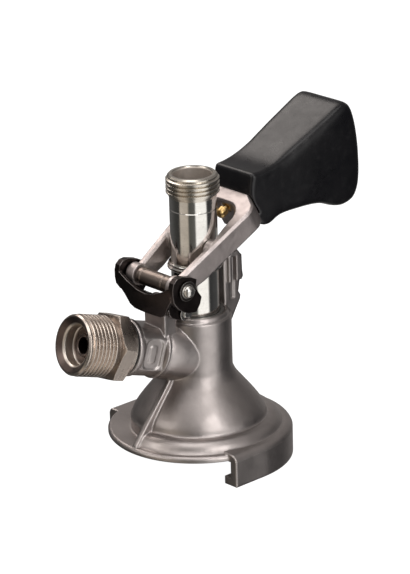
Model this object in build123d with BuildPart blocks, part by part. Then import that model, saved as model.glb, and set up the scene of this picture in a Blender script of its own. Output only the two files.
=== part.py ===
from build123d import *
import os
from math import sin, cos, tan, radians, sqrt, pi

os.makedirs("parts", exist_ok=True)

# ---------------------------------------------------------------------------
# Driving dimensions, millimetres. Frame: +Z up along the probe axis, z = 0 at
# the underside of the slide-in skirt, handle towards +Y, keg slides in from -Y.
# ---------------------------------------------------------------------------
# slide-in skirt and flange
SKIRT_HALF = 40.4        # outer half width and back radius
CHANNEL_HALF = 37.0      # channel above the lip
LIP_HALF = 33.2          # clear width between the lips
LIP_TOP = 3.5
SKIRT_FRONT = -16.4      # cut plane of the skirt ends
CHANNEL_TOP = 10.8
FLANGE_R = 39.6
FLANGE_TOP = 13.5
# neck
NECK_R = 15.1
NECK_TOP = 66.0
NECK_BORE = 11.4
BUSH_R = 12.2
BUSH_BOTTOM = 58.6
# gas port
PORT_AZ = radians(8.15)
PORT_TILT = radians(16.0)
PORT_Z = 46.8            # height where the port axis crosses the probe axis
PORT_END = 65.43         # distance from there to the nipple's end face
G34_R = 13.22            # G 3/4 thread, major radius
G34_PITCH = 1.814
SPIGOT_R = 8.4           # screwed end of the nipple in the port
# probe
PROBE_R = 10.15
PROBE_BORE = 8.0
PROBE_TOP = 127.3
G58_R = 11.46            # G 5/8 thread, major radius
G58_PITCH = 1.814
PROBE_STROKE = 15.4
BALL_Z = 20.9
# lever
TRUNNION_Z = 95.0
LEVER_TILT = radians(29.9)
ARM_IN = 12.3            # half gap between the arms at the trunnion
ARM_OUT = 15.9
ARM_SPLAY = 0.088        # growth of both per mm towards the grip
ARM_HALF = 4.86          # half height of the arm
CROSS_S, CROSS_N = -24.0, 2.0   # cross pin in lever coordinates
CROSS_R = 2.4
PLUNGER_N = 0.8
# link
LINK_Y, LINK_Z = -18.0, 72.5    # lower pivot
LINK_PIN_R = 2.0
CHEEK_IN, CHEEK_OUT = 15.5, 18.3
CHEEK_HOLE_R = 3.6
LINK_HOLE_Y = CROSS_S * cos(LEVER_TILT) - CROSS_N * sin(LEVER_TILT)
LINK_HOLE_Z = TRUNNION_Z + CROSS_S * sin(LEVER_TILT) + CROSS_N * cos(LEVER_TILT)

# ---------------------------------------------------------------------------
# Planes
# ---------------------------------------------------------------------------
PX = Vector(cos(PORT_AZ), -sin(PORT_AZ), 0)
PD = Vector(-sin(PORT_AZ) * cos(PORT_TILT), -cos(PORT_AZ) * cos(PORT_TILT), sin(PORT_TILT))
port = Plane(origin=(0, 0, PORT_Z), x_dir=PX, z_dir=PD)
port_section = Plane(origin=(0, 0, PORT_Z), x_dir=PX, z_dir=PX.cross(PD))
port_axis = Axis((0, 0, PORT_Z), (PD.X, PD.Y, PD.Z))

S_DIR = (0, cos(LEVER_TILT), sin(LEVER_TILT))
N_DIR = (0, -sin(LEVER_TILT), cos(LEVER_TILT))
lever = Plane(origin=(0, 0, TRUNNION_Z), x_dir=(1, 0, 0), z_dir=N_DIR)


def lever_side(x):
    return Plane(origin=(x, 0, TRUNNION_Z), x_dir=S_DIR, z_dir=(1, 0, 0))


def lever_point(x, s, n):
    return (x, s * S_DIR[1] + n * N_DIR[1], TRUNNION_Z + s * S_DIR[2] + n * N_DIR[2])


def ridges(r_major, r_minor, pitch, start, count):
    """Outline of thread ridges, (radius, height) pairs going up."""
    out = []
    for i in range(count):
        z = start + i * pitch
        out += [(r_minor, z), (r_minor, z + 0.12 * pitch), (r_major, z + 0.40 * pitch),
                (r_major, z + 0.72 * pitch)]
    out.append((r_minor, start + count * pitch))
    return out


def at_port(L):
    """Distance along the port axis for a depth L behind the nipple's end face."""
    return PORT_END - L


# ===========================================================================
# BODY
# ===========================================================================
with BuildPart() as body_casting:
    # rounded upper edge of the skirt: half round at the back, straight at the sides
    with BuildSketch(Plane.XZ):
        with BuildLine():
            Polyline((33.0, CHANNEL_TOP), (SKIRT_HALF, CHANNEL_TOP), (SKIRT_HALF, 10.9))
            ThreePointArc((SKIRT_HALF, 10.9), (SKIRT_HALF - 0.97, 13.2), (SKIRT_HALF - 3.3, 14.2))
            Polyline((SKIRT_HALF - 3.3, 14.2), (33.0, 14.5), (33.0, CHANNEL_TOP))
        make_face()
    revolve(axis=Axis.Z)
    with BuildSketch(Plane.XY):
        with Locations((0, -30)):
            Rectangle(100, 60)
    extrude(amount=30, mode=Mode.SUBTRACT)
    for side in (1, -1):
        with BuildSketch(Plane.XZ):
            with BuildLine():
                Polyline((side * 33.0, CHANNEL_TOP), (side * SKIRT_HALF, CHANNEL_TOP), (side * SKIRT_HALF, 10.9))
                ThreePointArc((side * SKIRT_HALF, 10.9), (side * (SKIRT_HALF - 0.97), 13.2), (side * (SKIRT_HALF - 3.3), 14.2))
                Polyline((side * (SKIRT_HALF - 3.3), 14.2), (side * 33.0, 14.5), (side * 33.0, CHANNEL_TOP))
            make_face()
        extrude(amount=-SKIRT_FRONT)
    # bell, neck and flange, solid of revolution
    with BuildSketch(Plane.XZ):
        with BuildLine():
            Polyline((0, CHANNEL_TOP), (39.0, CHANNEL_TOP), (FLANGE_R, 11.4), (FLANGE_R, 12.5),
                     (38.7, FLANGE_TOP), (36.9, FLANGE_TOP + 0.1), (35.9, 14.4))
            Spline((35.9, 14.4), (34.6, 16.4), (32.6, 17.9), (30.8, 18.3), (29.6, 18.3),
                   tangents=((-0.6, 1), (-1, -0.3)))
            Line((29.6, 18.3), (29.0, 19.0))
            Spline((29.0, 19.0), (28.0, 21.9), (25.6, 25.5), (23.3, 28.5), (21.1, 31.2), (18.9, 33.9), (16.6, 37.0), (15.35, 39.8),
                   (NECK_R, 43.0), tangents=((-0.1, 1), (0, 1)))
            Polyline((NECK_R, 43.0), (NECK_R, 63.4), (14.4, 64.2), (14.0, 64.2), (13.8, 65.3),
                     (13.3, NECK_TOP), (0, NECK_TOP), (0, CHANNEL_TOP))
        make_face()
    revolve(axis=Axis.Z)
    # skirt: half round at the back, straight sides, open to the front
    with BuildSketch(Plane.XY):
        Circle(SKIRT_HALF)
        with Locations((0, SKIRT_FRONT / 2)):
            Rectangle(2 * SKIRT_HALF, -SKIRT_FRONT)
        with Locations((0, SKIRT_FRONT - 30)):
            Rectangle(100, 60, mode=Mode.SUBTRACT)
    extrude(amount=11.6)
    # channel for the keg neck's flange
    with BuildSketch(Plane.XY.offset(LIP_TOP)):
        Circle(CHANNEL_HALF)
        with Locations((0, -25)):
            Rectangle(2 * CHANNEL_HALF, 50)
    extrude(amount=CHANNEL_TOP - LIP_TOP, mode=Mode.SUBTRACT)
    with BuildSketch(Plane.XY.offset(-1)):
        Circle(LIP_HALF)
        with Locations((0, -25)):
            Rectangle(2 * LIP_HALF, 50)
    extrude(amount=LIP_TOP + 1, mode=Mode.SUBTRACT)
    # the rounded shoulder stops at the rib: plain flange on the port side
    with BuildSketch(Plane.XY.offset(FLANGE_TOP)):
        with BuildLine():
            Polyline((-0.4, -27), (-0.4, -45), (-45, -45), (-45, 10), (-27, 10), close=True)
        make_face()
        Circle(29.7, mode=Mode.SUBTRACT)
    extrude(amount=6.6, mode=Mode.SUBTRACT)
    # rib from the flange's edge to the underside of the port
    with BuildSketch(Plane.YZ.offset(-0.4)):
        with BuildLine():
            Polyline((-38.4, 12.6), (-38.4, 14.1), (-21.0, 34.9), (-16.5, 40.5), (-10, 40.5), (-10, 12.6), close=True)
        make_face()
    extrude(amount=2.2)
    # filleted facet between rib and shoulder
    with BuildSketch(Plane.XY.offset(FLANGE_TOP - 0.5)):
        with BuildLine():
            Polyline((1.5, -37.9), (2.4, -36.6), (5.2, -32.0), (7.4, -27.5), (1.5, -27.5), close=True)
        make_face()
    extrude(amount=5.3, taper=18)
    # gas port: swell, ring, neck with flats, round end
    with BuildSketch(port_section):
        with BuildLine():
            Polyline((0, 0), (12.4, 0), (13.0, 8))
            Spline((13.0, 8), (13.05, 15), (12.2, at_port(43.2)), tangents=((0, 1), (-0.35, 1)))
            Polyline((12.2, at_port(43.2)), (11.9, at_port(42.9)), (12.7, at_port(42.4)),
                     (12.7, at_port(41.4)), (11.6, at_port(40.6)), (0, at_port(40.6)), (0, 0))
        make_face()
    revolve(axis=port_axis)
    with BuildSketch(port.offset(at_port(41.0))):
        Rectangle(20.8, 20.8)
        Circle(12.2, mode=Mode.INTERSECT)
    extrude(amount=41.0 - 29.0)
    with BuildSketch(port_section):
        with BuildLine():
            Polyline((0, at_port(29.6)), (11.4, at_port(29.6)), (12.3, at_port(28.8)), (12.3, at_port(27.0)),
                     (11.7, at_port(26.4)), (0, at_port(26.4)), (0, at_port(29.6)))
        make_face()
    revolve(axis=port_axis)
    # sunk plain panels on the two side flats
    for side in (1, -1):
        with BuildSketch(Plane(origin=port.from_local_coords(Vector(side * 10.4, 0, at_port(35.0))),
                               x_dir=PD, z_dir=PX * side)):
            RectangleRounded(8.6, 13.0, 2.6)
        extrude(amount=-0.7, mode=Mode.SUBTRACT)
        with BuildSketch(Plane(origin=port.from_local_coords(Vector(side * 9.7, 0, at_port(35.0))),
                               x_dir=PD, z_dir=PX * side)):
            RectangleRounded(3.4, 7.6, 1.2)
        extrude(amount=0.4)
    # front lug for the link's lower pivot, standing on the port
    with BuildSketch(Plane.YZ.offset(-6.2)):
        with Locations((LINK_Y, LINK_Z)):
            Circle(4.4)
        with BuildLine():
            Polyline((-23.8, 58.0), (-23.8, 70.6), (-22.3, LINK_Z), (-13.7, LINK_Z), (-14.2, 70.2), (-17.2, 66.6), (-17.2, 58.0),
                     close=True)
        make_face()
    extrude(amount=12.4)
    # rear guide post with the catch for the handle's plunger
    with BuildSketch(Plane.YZ.offset(-6)):
        with BuildLine():
            Polyline((10.0, 56), (10.0, 88.2), (12.0, 90.2), (18.4, 90.2), (20.4, 88.0), (20.2, 80.0), (20.9, 77.3),
                     (20.1, 74.8), (19.3, 70.2), (20.5, 68.4), (20.1, 66.6), (17.6, 62.6), (14.2, 57.0), (12, 55),
                     close=True)
        make_face()
    extrude(amount=12)
    chamfer(body_casting.edges().filter_by(Axis.Z).filter_by_position(Axis.Y, 9.9, 10.1)
            .filter_by_position(Axis.Z, 60, 90), 1.6)
    with BuildSketch(Plane.YZ.offset(-7.8)):
        with BuildLine():
            Polyline((12.6, 76.2), (12.6, 88.0), (14.0, 89.4), (18.0, 89.4), (20.0, 87.4), (20.2, 80.0), (20.6, 77.6), (19.8, 76.2),
                     close=True)
        make_face()
    extrude(amount=15.6)
    with BuildSketch(Plane.XY.offset(71)):
        with Locations((0, 22.0)):
            Rectangle(5.8, 11.4)
    extrude(amount=25, mode=Mode.SUBTRACT)
    for side in (1, -1):
        with BuildSketch(Plane.XY.offset(68)):
            with Locations((side * 7.3, 15.6)):
                Rectangle(3.9, 2.6)
        extrude(amount=19.5, mode=Mode.SUBTRACT)
    with BuildSketch(Plane.XY.offset(NECK_TOP)):
        Circle(12.5)
    extrude(amount=30, mode=Mode.SUBTRACT)
    # inner bore: seal seat, gas chamber, neck bore, o-ring groove, bush seat
    with BuildSketch(Plane.XZ):
        with BuildLine():
            Polyline((0, 5), (17.5, 5), (17.5, 15.5), (14.0, 15.5), (14.0, 17.0), (15.0, 18.0), (15.0, 30.0),
                     (NECK_BORE, 38.0), (NECK_BORE, 53.0), (10.7, 54.0), (10.7, 55.2), (12.9, 55.2), (12.9, 58.0),
                     (10.7, 58.0), (10.7, BUSH_BOTTOM), (BUSH_R, BUSH_BOTTOM), (BUSH_R, NECK_TOP + 10),
                     (0, NECK_TOP + 10), close=True)
        make_face()
    revolve(axis=Axis.Z, mode=Mode.SUBTRACT)
    # gas way through the port
    with BuildSketch(port.offset(0.0)):
        Circle(4.0)
    extrude(amount=at_port(38.4), mode=Mode.SUBTRACT)
    with BuildSketch(port.offset(at_port(38.6))):
        Circle(SPIGOT_R)
    extrude(amount=14, mode=Mode.SUBTRACT)
    # cross hole in the front lug
    with BuildSketch(Plane.YZ.offset(-9)):
        with Locations((LINK_Y, LINK_Z)):
            Circle(LINK_PIN_R)
    extrude(amount=18, mode=Mode.SUBTRACT)
body_casting.part.label = "body_casting"

with BuildPart() as keg_seal:
    with BuildSketch(Plane.XZ):
        with BuildLine():
            Polyline((12.4, 11.2), (13.0, 9.6), (13.6, 9.0), (16.4, 9.0), (17.2, 9.8), (17.4, 11.0), (17.4, 15.4),
                     (12.9, 15.4), (12.4, 14.6), close=True)
        make_face()
    revolve(axis=Axis.Z)
keg_seal.part.label = "keg_seal"

with BuildPart() as neck_bush:
    with BuildSketch(Plane.XZ):
        with BuildLine():
            Polyline((PROBE_R + 0.06, BUSH_BOTTOM + 0.6), (PROBE_R + 0.6, BUSH_BOTTOM), (BUSH_R, BUSH_BOTTOM),
                     (BUSH_R, 65.4), (11.9, 65.7), (PROBE_R + 0.4, 65.7), (PROBE_R + 0.06, 65.3), close=True)
        make_face()
    revolve(axis=Axis.Z)
neck_bush.part.label = "neck_bush"

with BuildPart() as neck_o_ring:
    with BuildSketch(Plane.XZ):
        with Locations((11.6, 56.6)):
            Circle(1.3)
    revolve(axis=Axis.Z)
neck_o_ring.part.label = "neck_o_ring"

# --- gas inlet -------------------------------------------------------------
with BuildPart() as gas_inlet_nipple:
    with BuildSketch(port_section):
        with BuildLine():
            n_ridges = 7
            z0 = at_port(15.1)
            pts = ridges(G34_R, G34_R - 1.05, G34_PITCH, z0, n_ridges)
            Polyline((3.6, at_port(25.0)), (3.6, at_port(5.6)), (4.5, at_port(5.2)), (5.3, at_port(6.4)), (7.6, at_port(6.9)),
                     (8.6, at_port(6.2)), (8.6, at_port(2.3)), (9.2, at_port(1.7)), (11.7, at_port(0)), (12.4, at_port(0)), (13.0, at_port(0.9)),
                     (13.0, at_port(1.6)), *pts[::-1],
                     (11.9, at_port(15.3)), (11.9, at_port(17.2)), (12.6, at_port(23.0)),
                     (12.6, at_port(25.2)), (SPIGOT_R, at_port(25.2)), (SPIGOT_R, at_port(37.4)), (7.8, at_port(38.0)),
                     (6.4, at_port(38.0)), (6.4, at_port(25.0)), close=True)
        make_face()
    revolve(axis=port_axis)
    with BuildSketch(port.offset(at_port(22.9))):
        RegularPolygon(13.6, 6, major_radius=False, rotation=10)
        Circle(11, mode=Mode.SUBTRACT)
    extrude(amount=22.9 - 16.7)
    with BuildSketch(port_section):
        with BuildLine():
            Polyline((14.1, at_port(16.6)), (17.5, at_port(16.6)), (17.5, at_port(18.6)), close=True)
        make_face()
    revolve(axis=port_axis, mode=Mode.SUBTRACT)
    with BuildSketch(port_section):
        with BuildLine():
            Polyline((14.1, at_port(23.0)), (17.5, at_port(23.0)), (17.5, at_port(21.2)), close=True)
        make_face()
    revolve(axis=port_axis, mode=Mode.SUBTRACT)
gas_inlet_nipple.part.label = "gas_inlet_nipple"

with BuildPart() as gas_inlet_gasket:
    with BuildSketch(port.offset(at_port(26.4))):
        Circle(12.0)
        Circle(SPIGOT_R, mode=Mode.SUBTRACT)
    extrude(amount=1.2)
gas_inlet_gasket.part.label = "gas_inlet_gasket"

with BuildPart() as valve_poppet:
    with BuildSketch(port_section):
        with BuildLine():
            Polyline((0, at_port(25.15)), (4.6, at_port(25.15)), (5.2, at_port(25.8)), (5.2, at_port(27.2)),
                     (2.2, at_port(27.2)), (2.2, at_port(28.0)), (1.4, at_port(28.0)), (1.4, at_port(38.6)),
                     (0, at_port(38.6)), close=True)
        make_face()
    revolve(axis=port_axis)
valve_poppet.part.label = "valve_poppet"

with BuildPart() as valve_spring:
    with BuildLine() as coil:
        Helix(pitch=1.5, height=7.2, radius=3.6, center=port.offset(at_port(35.15)).origin, direction=PD)
    with BuildSketch(Plane(origin=coil.line @ 0, z_dir=coil.line % 0)):
        Circle(0.35)
    sweep(is_frenet=True)
valve_spring.part.label = "valve_spring"

with BuildPart() as valve_retainer:
    with BuildSketch(port.offset(at_port(37.2))):
        Circle(6.4)
        Circle(1.75, mode=Mode.SUBTRACT)
        with PolarLocations(4.0, 4):
            Circle(1.2, mode=Mode.SUBTRACT)
    extrude(amount=1.6)
valve_retainer.part.label = "valve_retainer"

# --- lower link pivot --------------------------------------------------------
with BuildPart() as link_lower_pin:
    with BuildSketch(Plane.YZ.offset(-14.6)):
        with Locations((LINK_Y, LINK_Z)):
            Circle(LINK_PIN_R)
    extrude(amount=29.2)
    for side in (1, -1):
        with BuildSketch(Plane.YZ.offset(side * 13.3)):
            with Locations((LINK_Y, LINK_Z)):
                Circle(2.5)
                Circle(1.5, mode=Mode.SUBTRACT)
        extrude(amount=side * 0.7, mode=Mode.SUBTRACT)
    chamfer(link_lower_pin.edges().filter_by(GeomType.CIRCLE).group_by(Axis.X)[0], 0.4)
    chamfer(link_lower_pin.edges().filter_by(GeomType.CIRCLE).group_by(Axis.X)[-1], 0.4)
link_lower_pin.part.label = "link_lower_pin"

with BuildPart() as lower_pin_clips:
    for side in (1, -1):
        with BuildSketch(Plane.YZ.offset(side * 13.35)):
            with Locations((LINK_Y, LINK_Z)):
                Circle(3.3)
                Circle(1.5, mode=Mode.SUBTRACT)
            with Locations((LINK_Y, LINK_Z - 3)):
                Rectangle(2.4, 5.0, mode=Mode.SUBTRACT)
        extrude(amount=side * 0.6)
lower_pin_clips.part.label = "lower_pin_clips"

# ===========================================================================
# PROBE
# ===========================================================================
with BuildPart() as probe_tube:
    with BuildSketch(Plane.XZ):
        with BuildLine():
            top = ridges(G58_R, G58_R - 1.0, G58_PITCH, 118.6, 4)
            Polyline((PROBE_BORE + 0.4, 22.0), (PROBE_R, 22.0), (PROBE_R, 85.2), (11.2, 85.4), (11.7, 85.9), (11.7, 86.7),
                     (11.2, 87.2), (11.2, 88.0), (10.8, 88.4), (PROBE_R, 88.4), (PROBE_R, 111.8), (PROBE_R - 0.25, 112.0),
                     (PROBE_R - 0.25, 112.3), (PROBE_R, 112.5), (PROBE_R, 117.2), (10.5, 118.0), (10.5, 118.6), *top[1:],
                     (10.7, 126.2), (10.7, 126.6), (10.0, PROBE_TOP), (8.9, PROBE_TOP), (8.4, 126.5),
                     (8.4, 100.0), (PROBE_BORE, 99.0), (PROBE_BORE, 30.0), (PROBE_BORE + 0.4, 29.6), close=True)
        make_face()
    revolve(axis=Axis.Z)
    # seats of the two trunnion pins
    for side in (1, -1):
        with BuildSketch(Plane.YZ.offset(side * 9.2)):
            with Locations((0, TRUNNION_Z)):
                Circle(3.0)
        extrude(amount=side * 3, mode=Mode.SUBTRACT)
    # hole of the ball stop pin
    with BuildSketch(Plane.YZ.offset(-12)):
        with Locations((0, 31.9)):
            Circle(0.9)
    extrude(amount=24, mode=Mode.SUBTRACT)
probe_tube.part.label = "probe_tube"

with BuildPart() as trunnion_pins:
    for side in (1, -1):
        with BuildSketch(Plane.YZ.offset(side * 9.2)):
            with Locations((0, TRUNNION_Z)):
                Circle(3.0)
        extrude(amount=side * 5.2)
    chamfer(trunnion_pins.edges().filter_by(GeomType.CIRCLE).group_by(Axis.X)[0], 0.4)
    chamfer(trunnion_pins.edges().filter_by(GeomType.CIRCLE).group_by(Axis.X)[-1], 0.4)
trunnion_pins.part.label = "trunnion_pins"

with BuildPart() as probe_tip:
    with BuildSketch(Plane.XZ):
        with BuildLine():
            Polyline((4.4, 11.5), (7.6, 11.5), (7.6, 12.6), (6.9, 12.6), (6.9, 15.4), (9.2, 15.4), (PROBE_R, 16.0),
                     (PROBE_R, 22.0), (8.4, 22.0), (8.4, 26.0), (7.2, 26.0), (7.2, 20.0), (4.4, 17.0), close=True)
        make_face()
    revolve(axis=Axis.Z)
probe_tip.part.label = "probe_tip"

with BuildPart() as probe_seal:
    with BuildSketch(Plane.XZ):
        with BuildLine():
            Polyline((6.9, 12.6), (8.6, 12.6), (9.6, 13.4), (9.6, 14.8), (9.1, 15.4), (6.9, 15.4), close=True)
        make_face()
    revolve(axis=Axis.Z)
probe_seal.part.label = "probe_seal"

with BuildPart() as check_ball:
    with BuildSketch(Plane.XZ):
        with BuildLine():
            Line((0, BALL_Z - 5.5), (0, BALL_Z + 5.5))
            ThreePointArc((0, BALL_Z + 5.5), (5.5, BALL_Z), (0, BALL_Z - 5.5))
        make_face()
    revolve(axis=Axis.Z)
check_ball.part.label = "check_ball"

with BuildPart() as ball_stop_pin:
    with BuildSketch(Plane.YZ.offset(-9.4)):
        with Locations((0, 31.9)):
            Circle(0.9)
    extrude(amount=18.8)
ball_stop_pin.part.label = "ball_stop_pin"

# ===========================================================================
# LEVER
# ===========================================================================
def arm_in(s):
    return ARM_IN + ARM_SPLAY * s


def arm_out(s):
    return ARM_OUT + ARM_SPLAY * s


with BuildPart() as lever_yoke:
    with BuildSketch(lever.offset(-ARM_HALF)) as yoke_plan:
        with BuildLine():
            Polyline((-arm_out(-26), -26), (-arm_out(19.5), 19.5), (-17.6, 22.2), (-16.0, 25.4), (-10.4, 29.2),
                     (-9.0, 31.0), (-8.5, 34.0), (-8.5, 58.0), (8.5, 58.0), (8.5, 34.0), (9.0, 31.0), (10.4, 29.2), (16.0, 25.4),
                     (17.6, 22.2), (arm_out(19.5), 19.5), (arm_out(-26), -26), close=True)
        make_face()
    extrude(amount=2 * ARM_HALF)
    # gap between the arms, rounded at the crotch
    with BuildSketch(lever.offset(-12)) as gap:
        with BuildLine():
            Polyline((-arm_in(-40), -40), (-arm_in(1), 1), (-11.3, 9.5), (-11.3, 22.6), (11.3, 22.6), (11.3, 9.5), (arm_in(1), 1),
                     (arm_in(-40), -40), close=True)
        make_face()
        fillet(gap.vertices().filter_by_position(Axis.Y, 12, 60), 8)
    extrude(amount=24, mode=Mode.SUBTRACT)
    # thinner tang inside the grip
    for side in (1, -1):
        with BuildSketch(lever.offset(side * 12)):
            with Locations((0, 46.5)):
                Rectangle(30, 25)
        extrude(amount=-side * (12 - 3.6), mode=Mode.SUBTRACT)
    # deep wall behind the crotch, below the plunger
    with BuildSketch(lever.offset(-12.0)):
        with Locations((0, 24.1)):
            RectangleRounded(18.8, 3.0, 1.2)
    extrude(amount=8.0)
    # underside of the arms rises towards the cross pin
    for side in (1, -1):
        with BuildSketch(lever_side(side * 8.0)):
            with BuildLine():
                Polyline((-30, -9), (-30, -2.1), (-12, -ARM_HALF), (-8, -9), close=True)
            make_face()
        extrude(amount=side * 12, mode=Mode.SUBTRACT)
    # bevelled upper edges of the arms and shoulders
    top_face = lever_yoke.faces().sort_by(Axis((0, 0, TRUNNION_Z), N_DIR))[-1]
    chamfer(top_face.edges(), 0.9)
    # eyes for the cross pin
    for side in (1, -1):
        with BuildSketch(lever_side(side * arm_in(CROSS_S))):
            with Locations((CROSS_S, CROSS_N)):
                Circle(4.7)
        extrude(amount=side * 4.4)
    # trunnion bosses on the inner sides
    for side in (1, -1):
        with BuildSketch(lever_side(side * 10.5)):
            Circle(5.0)
        extrude(amount=side * 3.0)
    # cross pin hole
    with BuildSketch(lever_side(-20)):
        with Locations((CROSS_S, CROSS_N)):
            Circle(CROSS_R)
    extrude(amount=40, mode=Mode.SUBTRACT)
    # blind bearing holes
    for side in (1, -1):
        with BuildSketch(lever_side(side * 10.0)):
            Circle(3.9)
        extrude(amount=side * 4.8, mode=Mode.SUBTRACT)
    # plunger bore, blind, open to the crotch
    with BuildSketch(Plane(origin=lever_point(0, 20, PLUNGER_N), x_dir=(1, 0, 0), z_dir=S_DIR)):
        Circle(2.75)
    extrude(amount=13, mode=Mode.SUBTRACT)
    # screw holes from below
    with BuildSketch(lever.offset(-8)):
        with Locations((5.6, 50.0), (-5.6, 50.0)):
            Circle(1.5)
    extrude(amount=16, mode=Mode.SUBTRACT)
lever_yoke.part.label = "lever_yoke"

with BuildPart() as trunnion_bushes:
    for side in (1, -1):
        with BuildSketch(lever_side(side * 10.5)):
            Circle(3.9)
            Circle(3.06, mode=Mode.SUBTRACT)
        extrude(amount=side * 4.1)
trunnion_bushes.part.label = "trunnion_bushes"

with BuildPart() as cross_pin:
    with BuildSketch(lever_side(-19.9)):
        with Locations((CROSS_S, CROSS_N)):
            Circle(CROSS_R)
    extrude(amount=39.0)
    chamfer(cross_pin.edges().filter_by(GeomType.CIRCLE).group_by(Axis.X)[0], 0.4)
    # retaining flange and ball end
    with BuildSketch(lever_side(18.7)):
        with Locations((CROSS_S, CROSS_N)):
            Circle(4.3)
    extrude(amount=0.7)
    with BuildSketch(lever_side(19.0)):
        with Locations((CROSS_S, CROSS_N)):
            Circle(2.8)
    extrude(amount=2.9)
    fillet(cross_pin.edges().filter_by(GeomType.CIRCLE).group_by(Axis.X)[-1], 2.4)
    # groove of the retaining clip
    with BuildSketch(lever_side(-19.3)):
        with Locations((CROSS_S, CROSS_N)):
            Circle(3.0)
            Circle(1.8, mode=Mode.SUBTRACT)
    extrude(amount=0.7, mode=Mode.SUBTRACT)
cross_pin.part.label = "cross_pin"

with BuildPart() as cross_pin_clip:
    with BuildSketch(lever_side(-19.25)):
        with Locations((CROSS_S, CROSS_N)):
            Circle(4.3)
            Circle(1.8, mode=Mode.SUBTRACT)
        with Locations((CROSS_S - 3.5, CROSS_N)):
            Rectangle(5.4, 3.0, mode=Mode.SUBTRACT)
    extrude(amount=0.6)
cross_pin_clip.part.label = "cross_pin_clip"

with BuildPart() as cross_roller:
    with BuildSketch(Plane(origin=lever_point(0, CROSS_S, CROSS_N), x_dir=(1, 0, 0), z_dir=N_DIR)):
        with BuildLine():
            Polyline((-9.8, CROSS_R + 0.06), (-9.8, 3.3), (-9.4, 3.7), (-7.4, 3.7), (-7.1, 3.4), (-6.5, 3.4), (-6.2, 3.7),
                     (5.6, 3.7), (5.9, 3.4), (6.5, 3.4), (6.8, 3.7), (9.4, 3.7), (9.8, 3.3), (9.8, CROSS_R + 0.06),
                     close=True)
        make_face()
    revolve(axis=Axis(lever_point(0, CROSS_S, CROSS_N), (1, 0, 0)))
cross_roller.part.label = "cross_roller"


with BuildPart() as latch_plunger:
    # head, neck, spring collar and tail
    with BuildSketch(Plane(origin=lever_point(0, 17.0, PLUNGER_N), x_dir=(1, 0, 0), z_dir=S_DIR)):
        Circle(2.3)
    extrude(amount=4.3)
    fillet(latch_plunger.edges().filter_by(GeomType.CIRCLE).sort_by(Axis((0, 0, TRUNNION_Z), S_DIR))[0], 2.0)
    chamfer(latch_plunger.edges().filter_by(GeomType.CIRCLE).sort_by(Axis((0, 0, TRUNNION_Z), S_DIR))[-1], 0.3)
    for start, end, radius in ((21.0, 26.5, 1.5), (26.2, 27.6, 2.4), (27.4, 30.4, 1.2)):
        with BuildSketch(Plane(origin=lever_point(0, start, PLUNGER_N), x_dir=(1, 0, 0), z_dir=S_DIR)):
            Circle(radius)
        extrude(amount=end - start)
latch_plunger.part.label = "latch_plunger"

with BuildPart() as plunger_guide:
    with BuildSketch(Plane(origin=lever_point(0, 22.9, PLUNGER_N), x_dir=(1, 0, 0), z_dir=S_DIR)):
        Circle(2.75)
        Circle(1.56, mode=Mode.SUBTRACT)
    extrude(amount=3.2)
plunger_guide.part.label = "plunger_guide"

with BuildPart() as latch_spring:
    with BuildLine() as coil:
        Helix(pitch=1.1, height=4.5, radius=1.95, center=lever_point(0, 28.05, PLUNGER_N), direction=S_DIR)
    with BuildSketch(Plane(origin=coil.line @ 0, z_dir=coil.line % 0)):
        Circle(0.28)
    sweep(is_frenet=True)
latch_spring.part.label = "latch_spring"

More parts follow.
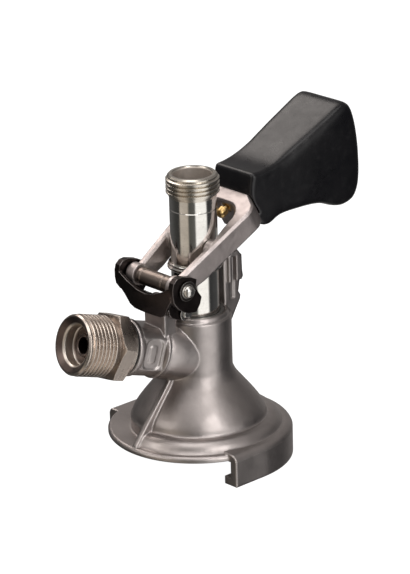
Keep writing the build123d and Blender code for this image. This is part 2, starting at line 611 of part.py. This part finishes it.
with BuildPart() as handle_grip:
    with BuildSketch(Plane.YZ.offset(-16)):
        with BuildLine():
            Spline((24.0, 123.2), (33.0, 124.0), (40.0, 126.3), (50.0, 130.8), (62.0, 136.5), (70.0, 140.3), (75.8, 143.0),
                   tangents=((1, 0.0), (1, 0.42)))
            Spline((75.8, 143.0), (78.2, 143.5), (80.5, 142.0), (82.1, 139.2), tangents=((1, 0.42), (0.46, -1)))
            Spline((82.1, 139.2), (84.9, 129.7), (86.3, 120.1), (86.6, 110.8), (85.6, 103.0), (82.7, 98.0),
                   tangents=((0.46, -1), (-0.8, -1.0)))
            Spline((82.7, 98.0), (76.5, 96.4), (70.0, 97.5), (64.4, 99.9), (57.0, 101.1), (49.2, 101.3), (41.5, 101.2),
                   tangents=((-1, -0.3), (-1, 0)))
            Spline((41.5, 101.2), (37.0, 100.4), (33.5, 98.9), (29.5, 99.1), (26.0, 102.0),
                   tangents=((-1, 0), (-0.7, 1)))
            Spline((26.0, 102.0), (23.6, 108.5), (22.7, 115.7), (24.0, 123.2), tangents=((-0.6, 1), (0.25, 1)))
        make_face()
    extrude(amount=32)
    with BuildSketch(Plane.XY.offset(80)):
        with BuildLine():
            left = Spline((-11.6, 18.0), (-13.3, 38.0), (-15.0, 64.0), (-14.4, 92.0))
            Line(left @ 1, (14.4, 92.0))
            right = Spline((14.4, 92.0), (15.0, 64.0), (13.3, 38.0), (11.6, 18.0))
            Line(right @ 1, left @ 0)
        make_face()
    extrude(amount=80, mode=Mode.INTERSECT)
    fillet(handle_grip.edges(), 1.8)
    # socket for the tang and the yoke's shoulder
    with BuildSketch(lever.offset(-ARM_HALF)):
        with BuildLine():
            Polyline((-12.9, 18), (-12.9, 28.4), (-10.5, 29.4), (-9.1, 31.2), (-8.5, 34.0), (8.5, 34.0), (9.1, 31.2),
                     (10.5, 29.4), (12.9, 28.4), (12.9, 18), close=True)
        make_face()
    extrude(amount=2 * ARM_HALF, mode=Mode.SUBTRACT)
    with BuildSketch(lever.offset(-3.6)):
        with Locations((0, 45.5)):
            Rectangle(17.0, 25.0)
    extrude(amount=7.2, mode=Mode.SUBTRACT)
    # counterbored holes for the two screws, from below
    for side in (1, -1):
        with BuildSketch(lever.offset(-3.6)):
            with Locations((side * 5.6, 50.0)):
                Circle(1.5)
        extrude(amount=-30, mode=Mode.SUBTRACT)
        with BuildSketch(lever.offset(-7.0)):
            with Locations((side * 5.6, 50.0)):
                Circle(3.1)
        extrude(amount=-30, mode=Mode.SUBTRACT)
handle_grip.part.label = "handle_grip"

with BuildPart() as grip_screws:
    for side in (1, -1):
        with BuildSketch(lever.offset(3.2)):
            with Locations((side * 5.6, 50.0)):
                Circle(1.5)
        extrude(amount=-10.2)
        with BuildSketch(lever.offset(-7.0)):
            with Locations((side * 5.6, 50.0)):
                Circle(2.9)
        extrude(amount=-2.2)
        with BuildSketch(lever.offset(-9.2)):
            with Locations((side * 5.6, 50.0)):
                RegularPolygon(1.25, 6, major_radius=False)
        extrude(amount=1.3, mode=Mode.SUBTRACT)
grip_screws.part.label = "grip_screws"

# ===========================================================================
# LINK
# ===========================================================================
with BuildPart() as link_shackle:
    # front web: leaning sheet, dipping between the cheeks
    with BuildSketch(Plane.XZ.offset(18.0)):
        with BuildLine():
            Polyline((-16.5, 87.4), (-16.5, 81.2), (-13.3, 77.2), (-10.9, 73.2), (-8.2, 71.8), (-3.0, 71.5), (3.0, 71.5),
                     (8.2, 71.8), (10.9, 73.2), (13.3, 77.2), (16.5, 81.2), (16.5, 87.4), (10.5, 84.0), (5.0, 81.6),
                     (0.0, 80.8), (-5.0, 81.6), (-10.5, 84.0), close=True)
        make_face()
    extrude(amount=12.0)
    with BuildSketch(Plane.YZ.offset(-17)):
        with BuildLine():
            Polyline((-29.4, 88.5), (-29.4, 84.0), (-29.0, 80.0), (-27.4, 71.0), (-25.5, 71.0), (-27.1, 80.0), (-27.5, 83.2),
                     (-27.5, 88.5), close=True)
        make_face()
    extrude(amount=34, mode=Mode.INTERSECT)
    # cheeks outside the lever's arms
    for side in (1, -1):
        with BuildSketch(Plane.YZ.offset(side * CHEEK_IN)):
            with BuildLine():
                Polyline((-29.4, 87.2), (-28.7, 89.6), (-26.6, 91.2), (-24.0, 91.4), (-18.6, 89.8), (-15.8, 88.4), (-16.4, 85.2),
                         (-15.0, 82.4), (-13.2, 79.8), (-14.2, 76.8), (-16.4, 73.9), (-20.2, 74.4), (-23.4, 75.6), (-26.8, 78.2),
                         (-28.8, 81.0), (-29.4, 84.0), close=True)
            make_face()
        extrude(amount=side * (CHEEK_OUT - CHEEK_IN))
    # ears on the lower pin
    for side in (1, -1):
        with BuildSketch(Plane.YZ.offset(side * 9.6)):
            with BuildLine():
                Polyline((-27.4, 78.6), (-26.6, 73.6), (-25.0, 71.8), (-22.4, 70.6), (-20.0, 69.6), (-17.4, 69.3), (-15.2, 70.7),
                         (-14.7, 73.0), (-16.2, 75.2), (-21.6, 76.6), (-24.6, 78.6), close=True)
            make_face()
        extrude(amount=side * 3.1)
    # relief around the eyes of the lever's arms
    with BuildSketch(Plane.YZ.offset(-CHEEK_IN)):
        with Locations((LINK_HOLE_Y, LINK_HOLE_Z)):
            Circle(6.3)
    extrude(amount=2 * CHEEK_IN, mode=Mode.SUBTRACT)
    # clearance holes of the cross pin
    with BuildSketch(Plane.YZ.offset(-20)):
        with Locations((LINK_HOLE_Y, LINK_HOLE_Z)):
            Circle(CHEEK_HOLE_R)
    extrude(amount=40, mode=Mode.SUBTRACT)
    # running holes of the lower pin
    with BuildSketch(Plane.YZ.offset(-13)):
        with Locations((LINK_Y, LINK_Z)):
            Circle(LINK_PIN_R + 0.07)
    extrude(amount=26, mode=Mode.SUBTRACT)
link_shackle.part.label = "link_shackle"

NODES = [body_casting, keg_seal, neck_bush, neck_o_ring, gas_inlet_nipple, gas_inlet_gasket, valve_poppet,
         valve_spring, valve_retainer, link_lower_pin, lower_pin_clips, probe_tube, trunnion_pins, probe_tip,
         probe_seal, check_ball, ball_stop_pin, lever_yoke, trunnion_bushes, cross_pin, cross_pin_clip,
         cross_roller, latch_plunger, plunger_guide, latch_spring, handle_grip, grip_screws, link_shackle]
for node in NODES:
    export_step(node.part, "parts/" + node.part.label + ".step")
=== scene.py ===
import bpy, bmesh, math
import numpy as np
from mathutils import Vector, Matrix, Euler

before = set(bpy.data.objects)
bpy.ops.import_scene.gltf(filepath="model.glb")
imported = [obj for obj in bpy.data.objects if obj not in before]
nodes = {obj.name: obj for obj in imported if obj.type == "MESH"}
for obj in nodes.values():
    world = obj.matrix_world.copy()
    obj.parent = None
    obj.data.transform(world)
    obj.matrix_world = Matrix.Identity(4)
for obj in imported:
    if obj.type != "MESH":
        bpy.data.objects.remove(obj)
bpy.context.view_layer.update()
scene = bpy.context.scene

# ---------------------------------------------------------------- frame facts
MM = 0.001
TILT = math.radians(29.9)
S_DIR = Vector((0, math.cos(TILT), math.sin(TILT)))
N_DIR = Vector((0, -math.sin(TILT), math.cos(TILT)))
PORT_AZ, PORT_TILT = math.radians(8.15), math.radians(16.0)
PD = Vector((-math.sin(PORT_AZ) * math.cos(PORT_TILT), -math.cos(PORT_AZ) * math.cos(PORT_TILT), math.sin(PORT_TILT)))
PORT_O = Vector((0, 0, 46.8 * MM))


def lever_point(x, s, n):
    return Vector((x, 0, 95)) * MM + s * MM * S_DIR + n * MM * N_DIR


# ---------------------------------------------------------------- node helpers
class Tree:
    """Small builder for one material's node tree."""

    def __init__(self, name):
        self.mat = bpy.data.materials.new(name)
        self.mat.use_nodes = True
        self.t = self.mat.node_tree
        self.bsdf = self.t.nodes["Principled BSDF"]
        self.coord = self.n("ShaderNodeTexCoord").outputs["Object"]

    def n(self, kind, **props):
        node = self.t.nodes.new(kind)
        for k, v in props.items():
            setattr(node, k, v)
        return node

    def link(self, a, b):
        self.t.links.new(a, b)

    def put(self, socket, value):
        if hasattr(value, "links") or isinstance(value, bpy.types.NodeSocket):
            self.link(value, socket)
        else:
            socket.default_value = value

    def mapping(self, scale=(1, 1, 1), axis=None, origin=(0, 0, 0)):
        """Object coordinates, turned so that local Z runs along axis through origin."""
        v = self.coord
        shift = self.n("ShaderNodeVectorMath", operation="SUBTRACT")
        self.link(v, shift.inputs[0])
        shift.inputs[1].default_value = origin
        v = shift.outputs[0]
        if axis is not None:
            m = self.n("ShaderNodeMapping")
            m.inputs["Rotation"].default_value = Vector(axis).rotation_difference(Vector((0, 0, 1))).to_euler()
            self.link(v, m.inputs["Vector"])
            v = m.outputs["Vector"]
        m = self.n("ShaderNodeMapping")
        m.inputs["Scale"].default_value = scale
        self.link(v, m.inputs["Vector"])
        return m.outputs["Vector"]

    def polar(self, axis=(0, 0, 1), origin=(0, 0, 0)):
        """(radius, height) about an axis, as separate sockets in metres."""
        sep = self.n("ShaderNodeSeparateXYZ")
        self.link(self.mapping(axis=axis, origin=origin), sep.inputs[0])
        comb = self.n("ShaderNodeCombineXYZ")
        self.link(sep.outputs[0], comb.inputs[0])
        self.link(sep.outputs[1], comb.inputs[1])
        ln = self.n("ShaderNodeVectorMath", operation="LENGTH")
        self.link(comb.outputs[0], ln.inputs[0])
        return ln.outputs["Value"], sep.outputs[2]

    def noise(self, vector, scale, detail=4.0, rough=0.55, distortion=0.0):
        nd = self.n("ShaderNodeTexNoise")
        self.link(vector, nd.inputs["Vector"])
        nd.inputs["Scale"].default_value = scale
        nd.inputs["Detail"].default_value = detail
        nd.inputs["Roughness"].default_value = rough
        nd.inputs["Distortion"].default_value = distortion
        return nd.outputs["Fac"]

    def remap(self, v, a, b, c, d):
        m = self.n("ShaderNodeMapRange")
        self.link(v, m.inputs["Value"])
        for k, x in zip(("From Min", "From Max", "To Min", "To Max"), (a, b, c, d)):
            m.inputs[k].default_value = x
        return m.outputs["Result"]

    def math(self, op, a, b=None, clamp=False):
        m = self.n("ShaderNodeMath", operation=op, use_clamp=clamp)
        self.put(m.inputs[0], a)
        if b is not None:
            self.put(m.inputs[1], b)
        return m.outputs[0]

    def mix(self, fac, a, b, blend="MIX"):
        m = self.n("ShaderNodeMix", data_type="RGBA", blend_type=blend)
        self.put(m.inputs["Factor"], fac)
        for key, val in (("A", a), ("B", b)):
            sock = [i for i in m.inputs if i.name == key and i.type == "RGBA"][0]
            self.put(sock, val if isinstance(val, bpy.types.NodeSocket) else (*val, 1))
        return [o for o in m.outputs if o.type == "RGBA"][0]

    def edges(self, radius=0.0006):
        """1 on convex and concave edges and 0 on flat surface."""
        bev = self.n("ShaderNodeBevel", samples=6)
        bev.inputs["Radius"].default_value = radius
        geo = self.n("ShaderNodeNewGeometry")
        dot = self.n("ShaderNodeVectorMath", operation="DOT_PRODUCT")
        self.link(bev.outputs[0], dot.inputs[0])
        self.link(geo.outputs["Normal"], dot.inputs[1])
        return self.remap(dot.outputs["Value"], 0.995, 0.86, 0.0, 1.0)

    def soft(self, radius):
        """Shading normal that runs smoothly over the casting's rounded edges."""
        bev = self.n("ShaderNodeBevel", samples=8)
        bev.inputs["Radius"].default_value = radius
        return bev.outputs[0]

    def bump(self, height, strength, distance, normal=None):
        b = self.n("ShaderNodeBump")
        b.inputs["Strength"].default_value = strength
        b.inputs["Distance"].default_value = distance
        self.link(height, b.inputs["Height"])
        if normal is not None:
            self.link(normal, b.inputs["Normal"])
        return b.outputs["Normal"]

    def out(self, base, rough, normal=None, metallic=1.0, **consts):
        self.put(self.bsdf.inputs["Base Color"], base if isinstance(base, bpy.types.NodeSocket) else (*base, 1))
        self.put(self.bsdf.inputs["Roughness"], rough)
        self.bsdf.inputs["Metallic"].default_value = metallic
        if normal is not None:
            self.link(normal, self.bsdf.inputs["Normal"])
        for k, v in consts.items():
            self.bsdf.inputs[k.replace("_", " ")].default_value = v
        return self.mat


def cast_metal(name, dark, light, wear_and_highlight, rough=(0.30, 0.42), grain=0.35, waves=0.3, edge=0.0007):
    """Bead-blasted casting: fine grain, soft stains, and edges and joint lines lighter, partly rubbed wear and partly
    painted highlight.
    """
    t = Tree(name)
    v = t.mapping()
    big = t.noise(v, 38, 5, 0.6, 0.4)
    mid = t.noise(v, 210, 4, 0.6)
    fine = t.noise(v, 1900, 3, 0.6)
    col = t.mix(t.remap(big, 0.33, 0.68, 0, 1), dark, light)
    col = t.mix(t.remap(mid, 0.42, 0.75, 0, 0.22), col, [c * 0.80 for c in dark])
    e = t.edges(edge)
    # lighter colour on convex edges and concave joint lines: partly rubbed wear, partly painted highlight
    wear_and_highlight_mask = t.math("MULTIPLY", e, t.remap(mid, 0.30, 0.62, 0.25, 1.0), clamp=True)
    col = t.mix(wear_and_highlight_mask, col, wear_and_highlight)
    r = t.remap(mid, 0.3, 0.7, rough[0], rough[1])
    r = t.math("SUBTRACT", r, t.math("MULTIPLY", wear_and_highlight_mask, 0.10))
    h = t.math("ADD", t.math("MULTIPLY", fine, 0.6), t.math("MULTIPLY", mid, 1.2))
    nrm = t.bump(h, grain, 0.00006, t.soft(edge * 1.3))
    nrm = t.bump(t.noise(v, 95, 3, 0.5, 0.3), waves, 0.0005, nrm)
    return t.out(col, r, nrm)


def turned_metal(name, base, dirt, axis, origin=(0, 0, 0), rough=(0.10, 0.22), lines=9000, strength=0.25, edge=0.0004,
                 wear_and_highlight=(0.9, 0.88, 0.85), anis=0.0, inner=None, above=None, outer=None):
    """Turned or polished metal: fine marks round its own axis, a little dirt in random flecks.

    inner is (radius, colour, roughness) of a duller bore inside that radius (a dark bore colour is painted shade),
    with the radius of a step as an optional fourth number, where a thin ring of painted highlight is laid. outer is
    the same outside a radius, and above is (height, colour, roughness) of a duller end, such as a thread.
    """
    t = Tree(name)
    rad, hgt = t.polar(axis, origin)
    comb = t.n("ShaderNodeCombineXYZ")
    t.link(rad, comb.inputs[0])
    t.link(hgt, comb.inputs[2])
    line = t.noise(comb.outputs[0], lines, 2, 0.7)
    broad = t.noise(comb.outputs[0], lines / 14, 3, 0.6)
    v = t.mapping()
    blot = t.noise(v, 120, 5, 0.65, 0.5)
    fleck = t.noise(v, 900, 3, 0.6)
    col = t.mix(t.remap(blot, 0.38, 0.72, 0, 0.75), base, [b * 0.82 for b in base])
    col = t.mix(t.remap(broad, 0.45, 0.7, 0, 0.30), col, [b * 0.70 for b in base])
    col = t.mix(t.remap(fleck, 0.60, 0.80, 0, 0.35), col, dirt)
    r = t.remap(blot, 0.3, 0.7, rough[0], rough[1])
    for zone, value in ((above, hgt), (outer, rad)):
        if zone is not None:
            beyond = t.remap(value, zone[0] - 0.0002, zone[0] + 0.0002, 0, 1)
            tone = t.mix(t.remap(blot, 0.35, 0.7, 0, 0.7), zone[1], [c * 0.72 for c in zone[1]])
            col = t.mix(beyond, col, tone)
            r = t.math("ADD", r, t.math("MULTIPLY", beyond, zone[2] - rough[0]), clamp=True)
    if inner is not None:
        inside = t.remap(rad, inner[0] - 0.0002, inner[0] + 0.0002, 1, 0)
        # bore colour, mottled at random; where it is dark it is painted shade in the bore
        bore_tone = t.mix(t.remap(blot, 0.35, 0.7, 0, 0.6), inner[1], [c * 0.55 for c in inner[1]])
        col = t.mix(inside, col, bore_tone)
        r = t.math("ADD", r, t.math("MULTIPLY", inside, inner[2] - rough[0]), clamp=True)
        if len(inner) > 3:
            # painted highlight: a thin ring of lighter colour at the step radius
            near = t.math("ABSOLUTE", t.math("SUBTRACT", rad, inner[3]))
            col = t.mix(t.remap(near, 0.0003, 0.0008, 0.85, 0.0), col, wear_and_highlight)
    # lighter colour on convex edges and concave joint lines: partly rubbed wear, partly painted highlight
    col = t.mix(t.math("MULTIPLY", t.edges(edge), 0.6), col, wear_and_highlight)
    nrm = t.bump(t.math("ADD", line, t.math("MULTIPLY", broad, 0.8)), strength, 0.00003)
    nrm = t.bump(fleck, 0.06, 0.00004, nrm)
    return t.out(col, r, nrm, Anisotropic=anis)


def moulded(name, base, lift, rough=(0.42, 0.55), scale=2600, strength=0.30, spec=0.5, edge=0.0009, rub=(0.10, 0.098, 0.095)):
    """Moulded plastic or rubber: fine eroded texture, dust in the grain, rubbed edges."""
    t = Tree(name)
    v = t.mapping()
    big = t.noise(v, 30, 4, 0.6, 0.3)
    mid = t.noise(v, 260, 5, 0.65)
    cell = t.n("ShaderNodeTexVoronoi")
    t.link(v, cell.inputs["Vector"])
    cell.inputs["Scale"].default_value = scale
    fine = t.noise(v, scale * 0.8, 2, 0.6)
    col = t.mix(t.remap(big, 0.35, 0.7, 0, 1), base, lift)
    col = t.mix(t.remap(mid, 0.55, 0.80, 0, 0.12), col, rub)
    e = t.edges(edge)
    col = t.mix(t.math("MULTIPLY", e, t.remap(mid, 0.3, 0.7, 0.15, 0.6)), col, rub)
    r = t.math("ADD", t.remap(big, 0.3, 0.7, rough[0], rough[1]), t.remap(mid, 0.4, 0.7, -0.03, 0.04))
    h = t.math("ADD", cell.outputs["Distance"], fine)
    nrm = t.bump(h, strength, 0.00005)
    nrm = t.bump(mid, 0.05, 0.00012, nrm)
    m = t.out(col, r, nrm, metallic=0.0)
    t.bsdf.inputs["Specular IOR Level"].default_value = spec
    return m


# ---------------------------------------------------------------- materials
Z = (0, 0, 1)
M = {
    "body": cast_metal("body_cast", (0.36, 0.325, 0.316), (0.46, 0.418, 0.405), (0.64, 0.60, 0.58), rough=(0.35, 0.46), grain=0.28, edge=0.0010),
    "yoke": cast_metal("yoke_cast", (0.38, 0.335, 0.325), (0.60, 0.535, 0.52), (0.70, 0.655, 0.63), rough=(0.38, 0.52), waves=0.6, edge=0.0006),
    "shackle": cast_metal("shackle_blackened", (0.020, 0.016, 0.016), (0.055, 0.045, 0.043), (0.34, 0.31, 0.30),
                          rough=(0.28, 0.44), grain=0.45, waves=0.7, edge=0.00045),
    "tube": turned_metal("tube_polished", (0.74, 0.72, 0.68), (0.35, 0.33, 0.30), Z, rough=(0.09, 0.16), strength=0.10, inner=(0.0086, (0.60, 0.54, 0.49), 0.50),
                         above=(0.1172, (0.66, 0.61, 0.54), 0.24)),
    # nipple: the mouth inside r 11.9 mm is painted dark as painted shade, with a painted highlight ring at r 8.8 mm
    "nipple": turned_metal("nipple_turned", (0.62, 0.54, 0.48), (0.15, 0.11, 0.085), PD, PORT_O, rough=(0.22, 0.34), strength=0.30,
                           wear_and_highlight=(0.85, 0.78, 0.70), inner=(0.0119, (0.13, 0.10, 0.09), 0.30, 0.0088)),
    "pin": turned_metal("pin_steel", (0.62, 0.60, 0.57), (0.25, 0.22, 0.2), (1, 0, 0), lever_point(0, -24, 2), rough=(0.18, 0.30)),
    "cross_pin": turned_metal("cross_pin_steel", (0.62, 0.60, 0.57), (0.25, 0.22, 0.2), (1, 0, 0), lever_point(0, -24, 2),
                              rough=(0.20, 0.32), outer=(0.0031, (0.055, 0.048, 0.045), 0.40)),
    "lower_pin": turned_metal("lower_pin_steel", (0.60, 0.58, 0.55), (0.2, 0.18, 0.16), (1, 0, 0), (0, -0.018, 0.0725), rough=(0.2, 0.3)),
    "roller": turned_metal("roller_oiled", (0.26, 0.215, 0.19), (0.06, 0.045, 0.038), (1, 0, 0), lever_point(0, -24, 2), rough=(0.30, 0.42),
                           strength=0.35),
    "screw": turned_metal("screw_steel", (0.55, 0.54, 0.53), (0.2, 0.18, 0.16), N_DIR, rough=(0.25, 0.35)),
    "brass": turned_metal("brass_turned", (0.62, 0.42, 0.18), (0.22, 0.11, 0.04), S_DIR, lever_point(0, 0, 0.8), rough=(0.26, 0.38),
                          wear_and_highlight=(0.78, 0.60, 0.30)),
    "bush": turned_metal("bush_bronze", (0.62, 0.43, 0.22), (0.2, 0.1, 0.04), (1, 0, 0), (0, 0, 0.095), rough=(0.25, 0.4)),
    "spring": turned_metal("spring_wire", (0.58, 0.57, 0.56), (0.2, 0.18, 0.17), S_DIR, lever_point(0, 0, 0.8), rough=(0.2, 0.3)),
    "grip": moulded("grip_moulded", (0.0040, 0.0040, 0.0056), (0.0072, 0.0066, 0.0080), rough=(0.27, 0.36), strength=0.14, spec=0.42, edge=0.0012,
                    rub=(0.075, 0.072, 0.070)),
    "rubber": moulded("seal_nitrile", (0.014, 0.014, 0.014), (0.026, 0.025, 0.024), rough=(0.55, 0.7), scale=1500, strength=0.2, spec=0.35),
    "acetal": moulded("acetal_grey", (0.085, 0.08, 0.076), (0.13, 0.125, 0.12), rough=(0.35, 0.5), scale=1800, strength=0.15),
}
USE = {
    "body_casting": "body", "keg_seal": "rubber", "neck_bush": "acetal", "neck_o_ring": "rubber", "gas_inlet_nipple": "nipple",
    "gas_inlet_gasket": "rubber", "valve_poppet": "acetal", "valve_spring": "spring", "valve_retainer": "acetal",
    "link_lower_pin": "lower_pin", "lower_pin_clips": "lower_pin", "probe_tube": "tube", "trunnion_pins": "pin",
    "probe_tip": "tube", "probe_seal": "rubber", "check_ball": "tube", "ball_stop_pin": "tube", "lever_yoke": "yoke",
    "trunnion_bushes": "bush", "cross_pin": "cross_pin", "cross_pin_clip": "pin", "cross_roller": "roller", "latch_plunger": "brass",
    "plunger_guide": "brass", "latch_spring": "spring", "handle_grip": "grip", "grip_screws": "screw", "link_shackle": "shackle",
}

# ---------------------------------------------------------------- rounding of the CAD nodes
ROUND = {  # bevel width in mm, segments
    "body_casting": (0.8, 3), "gas_inlet_nipple": (0.22, 2), "lever_yoke": (0.45, 2), "link_shackle": (0.40, 2), "probe_tube": (0.16, 2),
    "handle_grip": (0.0, 0), "cross_roller": (0.15, 2), "link_lower_pin": (0.15, 2), "cross_pin": (0.15, 2), "latch_plunger": (0.12, 2),
    "plunger_guide": (0.12, 2), "lower_pin_clips": (0.1, 1), "cross_pin_clip": (0.1, 1), "grip_screws": (0.15, 2),
    "trunnion_bushes": (0.1, 1), "trunnion_pins": (0.1, 1),
}
def soft_edges(obj, voxel, rounds, start, end):
    """Round the moulding's edges, more and more from y = start to y = end (metres)."""
    mesh = obj.modifiers.new("even_mesh", "REMESH")
    mesh.mode = "VOXEL"
    mesh.voxel_size = voxel
    mesh.use_smooth_shade = True
    tree = bpy.data.node_groups.new("soft_edges", "GeometryNodeTree")
    tree.interface.new_socket("Geometry", in_out="INPUT", socket_type="NodeSocketGeometry")
    tree.interface.new_socket("Geometry", in_out="OUTPUT", socket_type="NodeSocketGeometry")
    gin = tree.nodes.new("NodeGroupInput")
    gout = tree.nodes.new("NodeGroupOutput")
    pos = tree.nodes.new("GeometryNodeInputPosition")
    blur = tree.nodes.new("GeometryNodeBlurAttribute")
    blur.data_type = "FLOAT_VECTOR"
    blur.inputs["Iterations"].default_value = rounds
    vec_in = [i for i in blur.inputs if i.name == "Value" and i.type == "VECTOR"][0]
    vec_out = [o for o in blur.outputs if o.type == "VECTOR"][0]
    tree.links.new(pos.outputs[0], vec_in)
    split = tree.nodes.new("ShaderNodeSeparateXYZ")
    tree.links.new(pos.outputs[0], split.inputs[0])
    ease = tree.nodes.new("ShaderNodeMapRange")
    ease.interpolation_type = "SMOOTHSTEP"
    ease.inputs["From Min"].default_value = start
    ease.inputs["From Max"].default_value = end
    tree.links.new(split.outputs[1], ease.inputs["Value"])
    blend = tree.nodes.new("ShaderNodeMix")
    blend.data_type = "VECTOR"
    tree.links.new(ease.outputs["Result"], blend.inputs["Factor"])
    a, b = [i for i in blend.inputs if i.type == "VECTOR" and i.name in ("A", "B")]
    tree.links.new(pos.outputs[0], a)
    tree.links.new(vec_out, b)
    put = tree.nodes.new("GeometryNodeSetPosition")
    tree.links.new(gin.outputs[0], put.inputs["Geometry"])
    tree.links.new([o for o in blend.outputs if o.type == "VECTOR"][0], put.inputs["Position"])
    tree.links.new(put.outputs[0], gout.inputs[0])
    gn = obj.modifiers.new("soft_edges", "NODES")
    gn.node_group = tree


for name, obj in nodes.items():
    obj.data.materials.clear()
    obj.data.materials.append(M[USE[name]])
    weld = obj.modifiers.new("weld", "WELD")
    weld.merge_threshold = 1e-6
    width, segs = ROUND.get(name, (0, 0))
    if width:
        flat = obj.modifiers.new("planar", "DECIMATE")
        flat.decimate_type = "DISSOLVE"
        flat.angle_limit = math.radians(0.5)
        bev = obj.modifiers.new("round", "BEVEL")
        bev.width = width * MM
        bev.segments = segs
        bev.limit_method = "ANGLE"
        bev.angle_limit = math.radians(32)
        bev.use_clamp_overlap = True
        bev.harden_normals = False
    if name == "handle_grip":
        soft_edges(obj, 0.0005, 64, 0.030, 0.046)
    for p in obj.data.polygons:
        p.use_smooth = True
    wn = obj.modifiers.new("normals", "WEIGHTED_NORMAL")
    wn.keep_sharp = True
    wn.weight = 80

# ---------------------------------------------------------------- stage
bpy.ops.mesh.primitive_plane_add(size=8.0, location=(0, 0, 0))
floor = bpy.context.object
floor.name = "floor"
ft = Tree("floor_paper")
fv = ft.mapping()
fcol = ft.mix(ft.remap(ft.noise(fv, 3.0, 3), 0.3, 0.7, 0, 1), (0.20, 0.20, 0.20), (0.23, 0.23, 0.23))
ft.out(fcol, 0.9, ft.bump(ft.noise(fv, 900, 2), 0.05, 0.0001), metallic=0.0)
ft.bsdf.inputs["Emission Color"].default_value = (1, 1, 1, 1)
ft.bsdf.inputs["Emission Strength"].default_value = 1.0
floor.data.materials.append(ft.mat)
floor.visible_glossy = False
floor.visible_diffuse = False

# ---------------------------------------------------------------- studio
world = bpy.data.worlds.new("studio")
scene.world = world
world.use_nodes = True
wt = world.node_tree
bg = wt.nodes["Background"]
tc = wt.nodes.new("ShaderNodeTexCoord")
sep = wt.nodes.new("ShaderNodeSeparateXYZ")
wt.links.new(tc.outputs["Generated"], sep.inputs[0])
atan = wt.nodes.new("ShaderNodeMath"); atan.operation = "ARCTAN2"
wt.links.new(sep.outputs[1], atan.inputs[0]); wt.links.new(sep.outputs[0], atan.inputs[1])
frac = wt.nodes.new("ShaderNodeMapRange")
frac.inputs["From Min"].default_value = -math.pi; frac.inputs["From Max"].default_value = math.pi
wt.links.new(atan.outputs[0], frac.inputs["Value"])
around = wt.nodes.new("ShaderNodeValToRGB")
around.color_ramp.interpolation = "EASE"
# panels round the object, by azimuth in degrees from +X
PANELS = [(-180, (0.10, 0.10, 0.10)), (-128, (0.05, 0.05, 0.048)), (-116, (0.045, 0.045, 0.043)), (-108, (0.62, 0.56, 0.49)), (-72, (0.58, 0.52, 0.45)),
          (-63, (0.10, 0.10, 0.09)), (-36, (0.13, 0.13, 0.12)), (-29, (1.32, 1.31, 1.29)), (20, (1.32, 1.31, 1.29)), (29, (0.045, 0.045, 0.047)),
          (80, (0.07, 0.07, 0.072)), (105, (0.30, 0.29, 0.28)), (140, (0.34, 0.33, 0.32)), (158, (0.10, 0.10, 0.10))]
ramp = around.color_ramp
while len(ramp.elements) > 1:
    ramp.elements.remove(ramp.elements[-1])
for i, (deg, col) in enumerate(PANELS):
    pos = (deg + 180) / 360
    el = ramp.elements[0] if i == 0 else ramp.elements.new(pos)
    el.position = pos
    el.color = (*col, 1)
wt.links.new(frac.outputs[0], around.inputs[0])
updown = wt.nodes.new("ShaderNodeValToRGB")
ur = updown.color_ramp
ur.elements[0].position = 0.56; ur.elements[0].color = (0, 0, 0, 1)
ur.elements[1].position = 0.80; ur.elements[1].color = (1, 1, 1, 1)
zmap = wt.nodes.new("ShaderNodeMapRange")
zmap.inputs["From Min"].default_value = -1; zmap.inputs["From Max"].default_value = 1
wt.links.new(sep.outputs[2], zmap.inputs["Value"])
wt.links.new(zmap.outputs[0], updown.inputs[0])
wmix = wt.nodes.new("ShaderNodeMix"); wmix.data_type = "RGBA"
wt.links.new(updown.outputs[0], wmix.inputs[0])
wt.links.new(around.outputs[0], wmix.inputs[6])
wmix.inputs[7].default_value = (0.27, 0.258, 0.25, 1)
wt.links.new(wmix.outputs[2], bg.inputs["Color"])
bg.inputs["Strength"].default_value = 1.0


def area(name, az, el, dist, size, power, color=(1, 1, 1), size_y=None, aim=(0, 0, 0.06)):
    """Softbox at azimuth az in degrees from +X and elevation el."""
    light = bpy.data.lights.new(name, "AREA")
    light.shape = "RECTANGLE"
    light.size = size
    light.size_y = size_y or size
    light.energy = power
    light.color = color
    o = bpy.data.objects.new(name, light)
    scene.collection.objects.link(o)
    a, e = math.radians(az), math.radians(el)
    o.location = Vector(aim) + dist * Vector((math.cos(a) * math.cos(e), math.sin(a) * math.cos(e), math.sin(e)))
    o.rotation_euler = (Vector(aim) - o.location).to_track_quat("-Z", "Y").to_euler()
    o.visible_camera = False
    return o


area("top_box", -60, 78, 1.2, 0.8, 4.5, (1, 0.985, 0.97))
area("key_box", -14, 33, 1.3, 0.4, 5.5, (1, 0.985, 0.97), size_y=0.9)
area("fill_box", -110, 38, 1.5, 0.7, 4, (1, 0.97, 0.93))
area("back_box", 174, 48, 1.6, 0.85, 7, (1, 0.93, 0.88), size_y=0.8)

# ---------------------------------------------------------------- camera
AZ, EL, ROLL = math.radians(47.68), math.radians(20.52), math.radians(1.61)
DIST, AIM_Z, AIM_X = 1.3710, 0.07574, 0.00406
back = Vector((math.sin(AZ) * math.cos(EL), -math.cos(AZ) * math.cos(EL), math.sin(EL)))
right = Vector((math.cos(AZ), math.sin(AZ), 0))
up = back.cross(right)
right2 = right * math.cos(ROLL) - up * math.sin(ROLL)
up2 = up * math.cos(ROLL) + right * math.sin(ROLL)
aim = Vector((0, 0, AIM_Z)) + AIM_X * right
cam_data = bpy.data.cameras.new("camera")
cam_data.lens = 201.7
cam_data.sensor_width = 36
cam_data.sensor_fit = "AUTO"
cam_data.clip_start = 0.05
cam = bpy.data.objects.new("camera", cam_data)
scene.collection.objects.link(cam)
rot = Matrix((right2, up2, back)).transposed()
cam.matrix_world = Matrix.Translation(aim + DIST * back) @ rot.to_4x4()
scene.camera = cam
scene.view_settings.view_transform = "Standard"
scene.view_settings.exposure = 0.0
